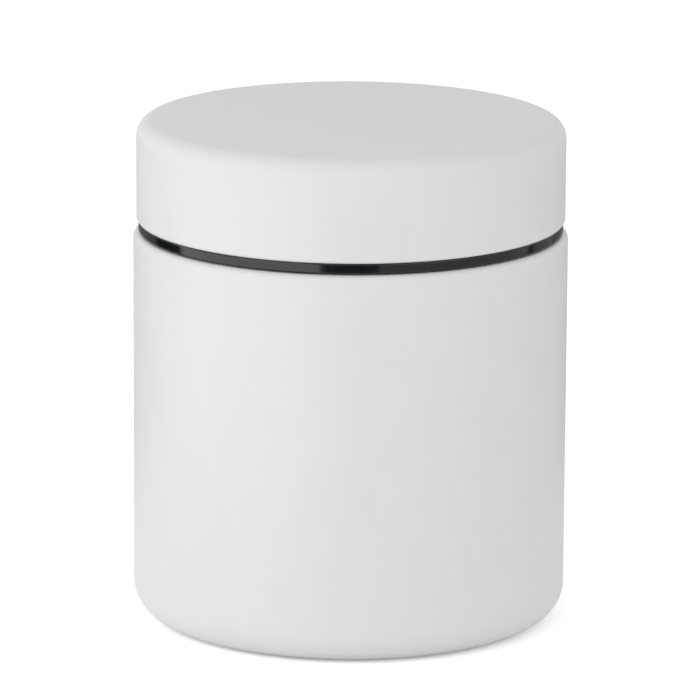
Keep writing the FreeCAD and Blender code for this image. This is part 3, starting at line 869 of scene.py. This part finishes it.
class JAR_OT_seal(bpy.types.Operator):
    """Sealing plate with its gate mark and moulded groove, and the two-lipped gasket round its plug"""

    bl_idname = "jar.seal"
    bl_label = "Sealing plate and gasket"

    def execute(self, context):
        sizes = context.scene.jar_sizes
        flange = PLATE_HIGH.y
        plug_play = 0.7 * MM
        plug = VESSEL_HIGH.y - sizes.mouth_step - plug_play
        bottom, top = PLATE_LOW.z, PLATE_HIGH.z
        sheet = sizes.plate_sheet
        gate, gate_depth = 2.2 * MM, 0.35 * MM
        groove, groove_depth = plug - 6 * MM, 0.4 * MM
        groove_inner = groove - 1.6 * MM
        fine_edge, flange_edge, dish_edge = 0.15 * MM, 0.2 * MM, 0.3 * MM
        outline = rounded([
            (0.0, bottom + gate_depth, 0.0),
            (gate, bottom + gate_depth, fine_edge),
            (gate, bottom, fine_edge),
            (groove_inner, bottom, fine_edge),
            (groove_inner, bottom + groove_depth, fine_edge),
            (groove, bottom + groove_depth, fine_edge),
            (groove, bottom, fine_edge),
            (plug, bottom, sizes.plug_round),
            (plug, top - sheet, 0.0),
            (flange, top - sheet, flange_edge),
            (flange, top, flange_edge),
            (plug - sheet, top, dish_edge),
            (plug - sheet, bottom + sheet, sizes.plug_round / 2),
            (0.0, bottom + sheet, 0.0),
        ])
        plate = turned("plate_moulded", outline, sizes.turns, closed=False)
        dress(plate, "sealing_plate", "plate_black", ["inner_plate"], plate_material())

        low, high = GASKET_LOW.z, GASKET_HIGH.z
        outer = GASKET_HIGH.y
        middle = (plug + outer) / 2
        gap = 0.35 * MM
        root = low + sizes.gasket_lip
        inner_lip, lip_edge, outer_lip = 0.3 * MM, 0.25 * MM, 0.6 * MM
        root_edge, back_edge = 0.1 * MM, 0.2 * MM
        ring = rounded([
            (plug, low, inner_lip),
            (middle - gap, low, lip_edge),
            (middle - gap / 3, root, root_edge),
            (middle + gap / 3, root, root_edge),
            (middle + gap, low, lip_edge),
            (outer, low, outer_lip),
            (outer, high, back_edge),
            (plug, high, back_edge),
        ])
        gasket = turned("gasket_lipped", ring, sizes.turns)
        tone = context.scene.jar_finish.silicone_colour
        dress(gasket, "sealing_plate", "gasket_silicone", ["lid_gasket"],
              silicone_material("gasket_silicone", tone, roughness=0.38, grain_size=0.4 * MM))
        return {"FINISHED"}


class JAR_OT_foot(bpy.types.Operator):
    """Foot pad: soft disc with rings moulded in its underside"""

    bl_idname = "jar.foot"
    bl_label = "Foot pad"

    def execute(self, context):
        sizes = context.scene.jar_sizes
        radius = PAD_HIGH.y
        top = PAD_HIGH.z
        depth = sizes.pad_groove
        pitch, groove, groove_edge = 6.5 * MM, 1.0 * MM, 0.08 * MM
        low_edge, high_edge = 0.4 * MM, 0.1 * MM
        corners = [(0.0, 0.0, 0.0)]
        spot = pitch
        while spot < radius - pitch / 2:
            corners += [
                (spot - groove / 2, 0.0, groove_edge),
                (spot - groove / 4, depth, groove_edge),
                (spot + groove / 4, depth, groove_edge),
                (spot + groove / 2, 0.0, groove_edge),
            ]
            spot += pitch
        corners += [(radius, 0.0, low_edge), (radius, top, high_edge), (0.0, top, 0.0)]
        piece = turned("foot_moulded", rounded(corners), sizes.turns, closed=False)
        tone = context.scene.jar_finish.foot_colour
        dress(piece, "jar_body", "foot_silicone", ["base_pad"],
              silicone_material("foot_silicone", tone, roughness=0.55, grain_size=0.3 * MM))
        return {"FINISHED"}


class JAR_OT_inside(bpy.types.Operator):
    """Finishes of the hidden parts: foil, closing base, seal, getter, cap, film and foam"""

    bl_idname = "jar.inside"
    bl_label = "Hidden parts"

    def execute(self, context):
        for node in ("foil_wrap", "foil_disc"):
            paint_node(node, foil_material())
        for node in ("outer_base", "base_cap", "getter_clip"):
            paint_node(node, sheet_steel_material())
        paint_node("getter", small_material(
            "getter_pill", (0.07, 0.066, 0.062), (0.12, 0.11, 0.10), roughness=0.7,
            grain_size=0.2 * MM, grain_depth=0.04 * MM, Metallic=0.6))
        paint_node("vacuum_seal", small_material(
            "seal_glass", (0.05, 0.055, 0.045), (0.09, 0.085, 0.06), roughness=0.12,
            grain_size=1.5 * MM, grain_depth=0.03 * MM))
        paint_node("pad_adhesive", small_material(
            "film", (0.72, 0.68, 0.52), (0.66, 0.61, 0.44), roughness=0.35,
            grain_size=1.0 * MM, grain_depth=0.01 * MM))
        paint_node("lid_foam", foam_material())
        return {"FINISHED"}


class JAR_OT_stage(bpy.types.Operator):
    """Studio: pale floor, three soft lamps, the room's light, the reflected cards and the camera"""

    bl_idname = "jar.stage"
    bl_label = "Studio and camera"

    def execute(self, context):
        studio = context.scene.jar_studio
        floor_and_room(context.scene, studio)
        middle = (CAD_BOX[0] + CAD_BOX[1]) / 2
        for name, side, rise, power in LAMPS:
            soft_lamp(name, middle, direction(side, rise), getattr(studio, power))
        for name, first, last, strength in CARDS:
            card(name, reflected(first, studio), reflected(last, studio), strength, studio)
        aim_camera(context.scene, studio, middle)
        context.scene.view_settings.view_transform = "Standard"
        return {"FINISHED"}


def spin(turns):
    """A turn about Z, right-handed, in whole turns."""
    return Matrix.Rotation(2 * math.pi * turns, 4, "Z")


def direction(side, rise):
    """A way out from the jar: degrees to the right of the camera's side, and degrees up."""
    side, rise = math.radians(side), math.radians(rise)
    return Vector((math.sin(side) * math.cos(rise), -math.cos(side) * math.cos(rise), math.sin(rise)))


def soft_lamp(name, middle, way, power):
    """An area lamp that faces the jar's middle from this way out, and that the camera doesn't see."""
    data = bpy.data.lights.new(name, "AREA")
    data.shape = "RECTANGLE"
    data.size = LAMP_SIZE
    data.size_y = LAMP_SIZE
    data.energy = power
    lamp = bpy.data.objects.new(name, data)
    bpy.context.scene.collection.objects.link(lamp)
    lamp.location = middle + way * LAMP_DISTANCE
    lamp.rotation_mode = "QUATERNION"
    lamp.rotation_quaternion = (-way).to_track_quat("-Z", "Y")
    lamp.visible_camera = False


def reflected(way, studio):
    """Where round the cards the camera's ray ends when the ring turns it aside to this way.

    Both are in degrees to the right of the camera's side. The ring turns the ray at half the angle."""
    ring = (LINER_HIGH.y - LINER_LOW.y) / 2
    start = direction(way / 2, 0) * ring
    out = direction(way, 0)
    near = start.dot(out)
    far = math.sqrt(near * near - ring * ring + studio.card_radius ** 2) - near
    spot = start + out * far
    return math.degrees(math.atan2(spot.x, -spot.y))


def stage_piece(name, verts, faces):
    """A mesh of the studio with an empty material: the object, its shader nodes and what they feed."""
    mesh = bpy.data.meshes.new(name)
    mesh.from_pydata(verts, [], faces)
    piece = bpy.data.objects.new(name, mesh)
    bpy.context.scene.collection.objects.link(piece)
    material = bpy.data.materials.new(name)
    material.use_nodes = True
    mesh.materials.append(material)
    tree = material.node_tree
    tree.nodes.clear()
    return piece, tree, tree.nodes.new("ShaderNodeOutputMaterial").inputs["Surface"]


def card(name, first, last, strength, studio):
    """A curved card from one degree to another that only reflections show. It is dark at strength 0."""
    sweep = (last - first) % 360
    steps = math.ceil(sweep / CARD_STEP)
    verts = []
    for k in range(steps + 1):
        spot = direction(first + sweep * k / steps, 0) * studio.card_radius
        verts += [(spot.x, spot.y, 0.0), (spot.x, spot.y, studio.card_height)]
    faces = [(2 * k, 2 * k + 2, 2 * k + 3, 2 * k + 1) for k in range(steps)]
    piece, tree, surface = stage_piece(name, verts, faces)
    piece.visible_camera = False
    piece.visible_diffuse = False
    piece.visible_shadow = False
    piece.visible_transmission = False
    light = tree.nodes.new("ShaderNodeEmission")
    light.inputs["Color"].default_value = (1, 1, 1, 1)
    light.inputs["Strength"].default_value = strength
    tree.links.new(light.outputs[0], surface)


def floor_and_room(scene, studio):
    """A pale floor that keeps the jar's shadow and is clear from below, and a white room."""
    reach, drop = 3.0, 0.02 * MM
    square = [(-reach, -reach, 0), (reach, -reach, 0), (reach, reach, 0), (-reach, reach, 0)]
    floor, tree, surface = stage_piece("floor", square, [(0, 1, 2, 3)])
    floor.location.z = -drop
    base = tree.nodes.new("ShaderNodeBsdfDiffuse")
    glow = tree.nodes.new("ShaderNodeEmission")
    both = tree.nodes.new("ShaderNodeAddShader")
    clear = tree.nodes.new("ShaderNodeBsdfTransparent")
    facing = tree.nodes.new("ShaderNodeNewGeometry")
    one_sided = tree.nodes.new("ShaderNodeMixShader")
    seen = seen_directly(tree)
    pushed = math_in(tree, "MULTIPLY", seen, studio.floor_push)
    tree.links.new(math_in(tree, "ADD", pushed, studio.floor_tone), base.inputs["Color"])
    tree.links.new(math_in(tree, "MULTIPLY", seen, studio.floor_glow), glow.inputs["Strength"])
    tree.links.new(base.outputs[0], both.inputs[0])
    tree.links.new(glow.outputs[0], both.inputs[1])
    tree.links.new(both.outputs[0], one_sided.inputs[1])
    tree.links.new(clear.outputs[0], one_sided.inputs[2])
    tree.links.new(facing.outputs["Backfacing"], one_sided.inputs["Fac"])
    tree.links.new(one_sided.outputs[0], surface)

    world = bpy.data.worlds.new("room")
    scene.world = world
    world.use_nodes = True
    tree = world.node_tree
    room = tree.nodes["Background"]
    room.inputs["Color"].default_value = (1, 1, 1, 1)
    shown = seen_directly(tree)
    hidden = math_in(tree, "MULTIPLY", math_in(tree, "SUBTRACT", 1.0, shown), studio.sky)
    tree.links.new(math_in(tree, "ADD", hidden, shown), room.inputs["Strength"])


def seen_directly(tree):
    """1 for rays of the camera, of gloss and through glass, otherwise 0."""
    path = tree.nodes.new("ShaderNodeLightPath")
    most = math_in(tree, "MAXIMUM", path.outputs["Is Camera Ray"], path.outputs["Is Glossy Ray"])
    return math_in(tree, "MAXIMUM", most, path.outputs["Is Transmission Ray"])


def aim_camera(scene, studio, middle):
    """A long lens at the photographed height, aimed a little above the jar's middle."""
    data = bpy.data.cameras.new("camera")
    data.sensor_width = SENSOR_WIDTH
    data.lens = studio.lens
    data.clip_start, data.clip_end = 0.05, 20.0
    camera = bpy.data.objects.new("camera", data)
    scene.collection.objects.link(camera)
    back = Vector((0.0, -math.cos(studio.tilt), math.sin(studio.tilt)))
    target = middle + Vector((studio.aim_side, 0.0, studio.aim_up))
    camera.location = target + back * studio.distance
    camera.rotation_mode = "QUATERNION"
    look = (-back).to_track_quat("-Z", "Y")
    camera.rotation_quaternion = look @ Quaternion((0.0, 0.0, 1.0), studio.roll)
    scene.camera = camera


class JAR_PT_panel(bpy.types.Panel):
    """Buttons for each part of the jar, and its sizes"""

    bl_idname = "JAR_PT_panel"
    bl_label = "Food jar"
    bl_space_type = "VIEW_3D"
    bl_region_type = "UI"
    bl_category = "Food jar"

    def draw(self, context):
        layout = self.layout
        for step in STEPS:
            layout.operator(step.bl_idname)
        for name in GROUPS:
            group = getattr(context.scene, name)
            box = layout.box()
            box.label(text=name.split("_")[1].capitalize())
            for key in group.__annotations__:
                box.prop(group, key)


STEPS = (JAR_OT_shell, JAR_OT_vessel, JAR_OT_cover, JAR_OT_liner, JAR_OT_seal, JAR_OT_foot,
         JAR_OT_inside, JAR_OT_stage)
GROUPS = {"jar_sizes": JarSizes, "jar_finish": JarFinish, "jar_studio": JarStudio}


def register():
    """Adds the settings, the operators and the panel."""
    for group in GROUPS.values():
        bpy.utils.register_class(group)
    for name, group in GROUPS.items():
        setattr(bpy.types.Scene, name, PointerProperty(type=group))
    for step in STEPS:
        bpy.utils.register_class(step)
    bpy.utils.register_class(JAR_PT_panel)


def unregister():
    """Takes them away again."""
    bpy.utils.unregister_class(JAR_PT_panel)
    for step in reversed(STEPS):
        bpy.utils.unregister_class(step)
    for name, group in reversed(GROUPS.items()):
        delattr(bpy.types.Scene, name)
        bpy.utils.unregister_class(group)


def main():
    """Runs every operator in turn."""
    register()
    for step in STEPS:
        part, name = step.bl_idname.split(".")
        getattr(getattr(bpy.ops, part), name)()


if __name__ == "__main__":
    main()
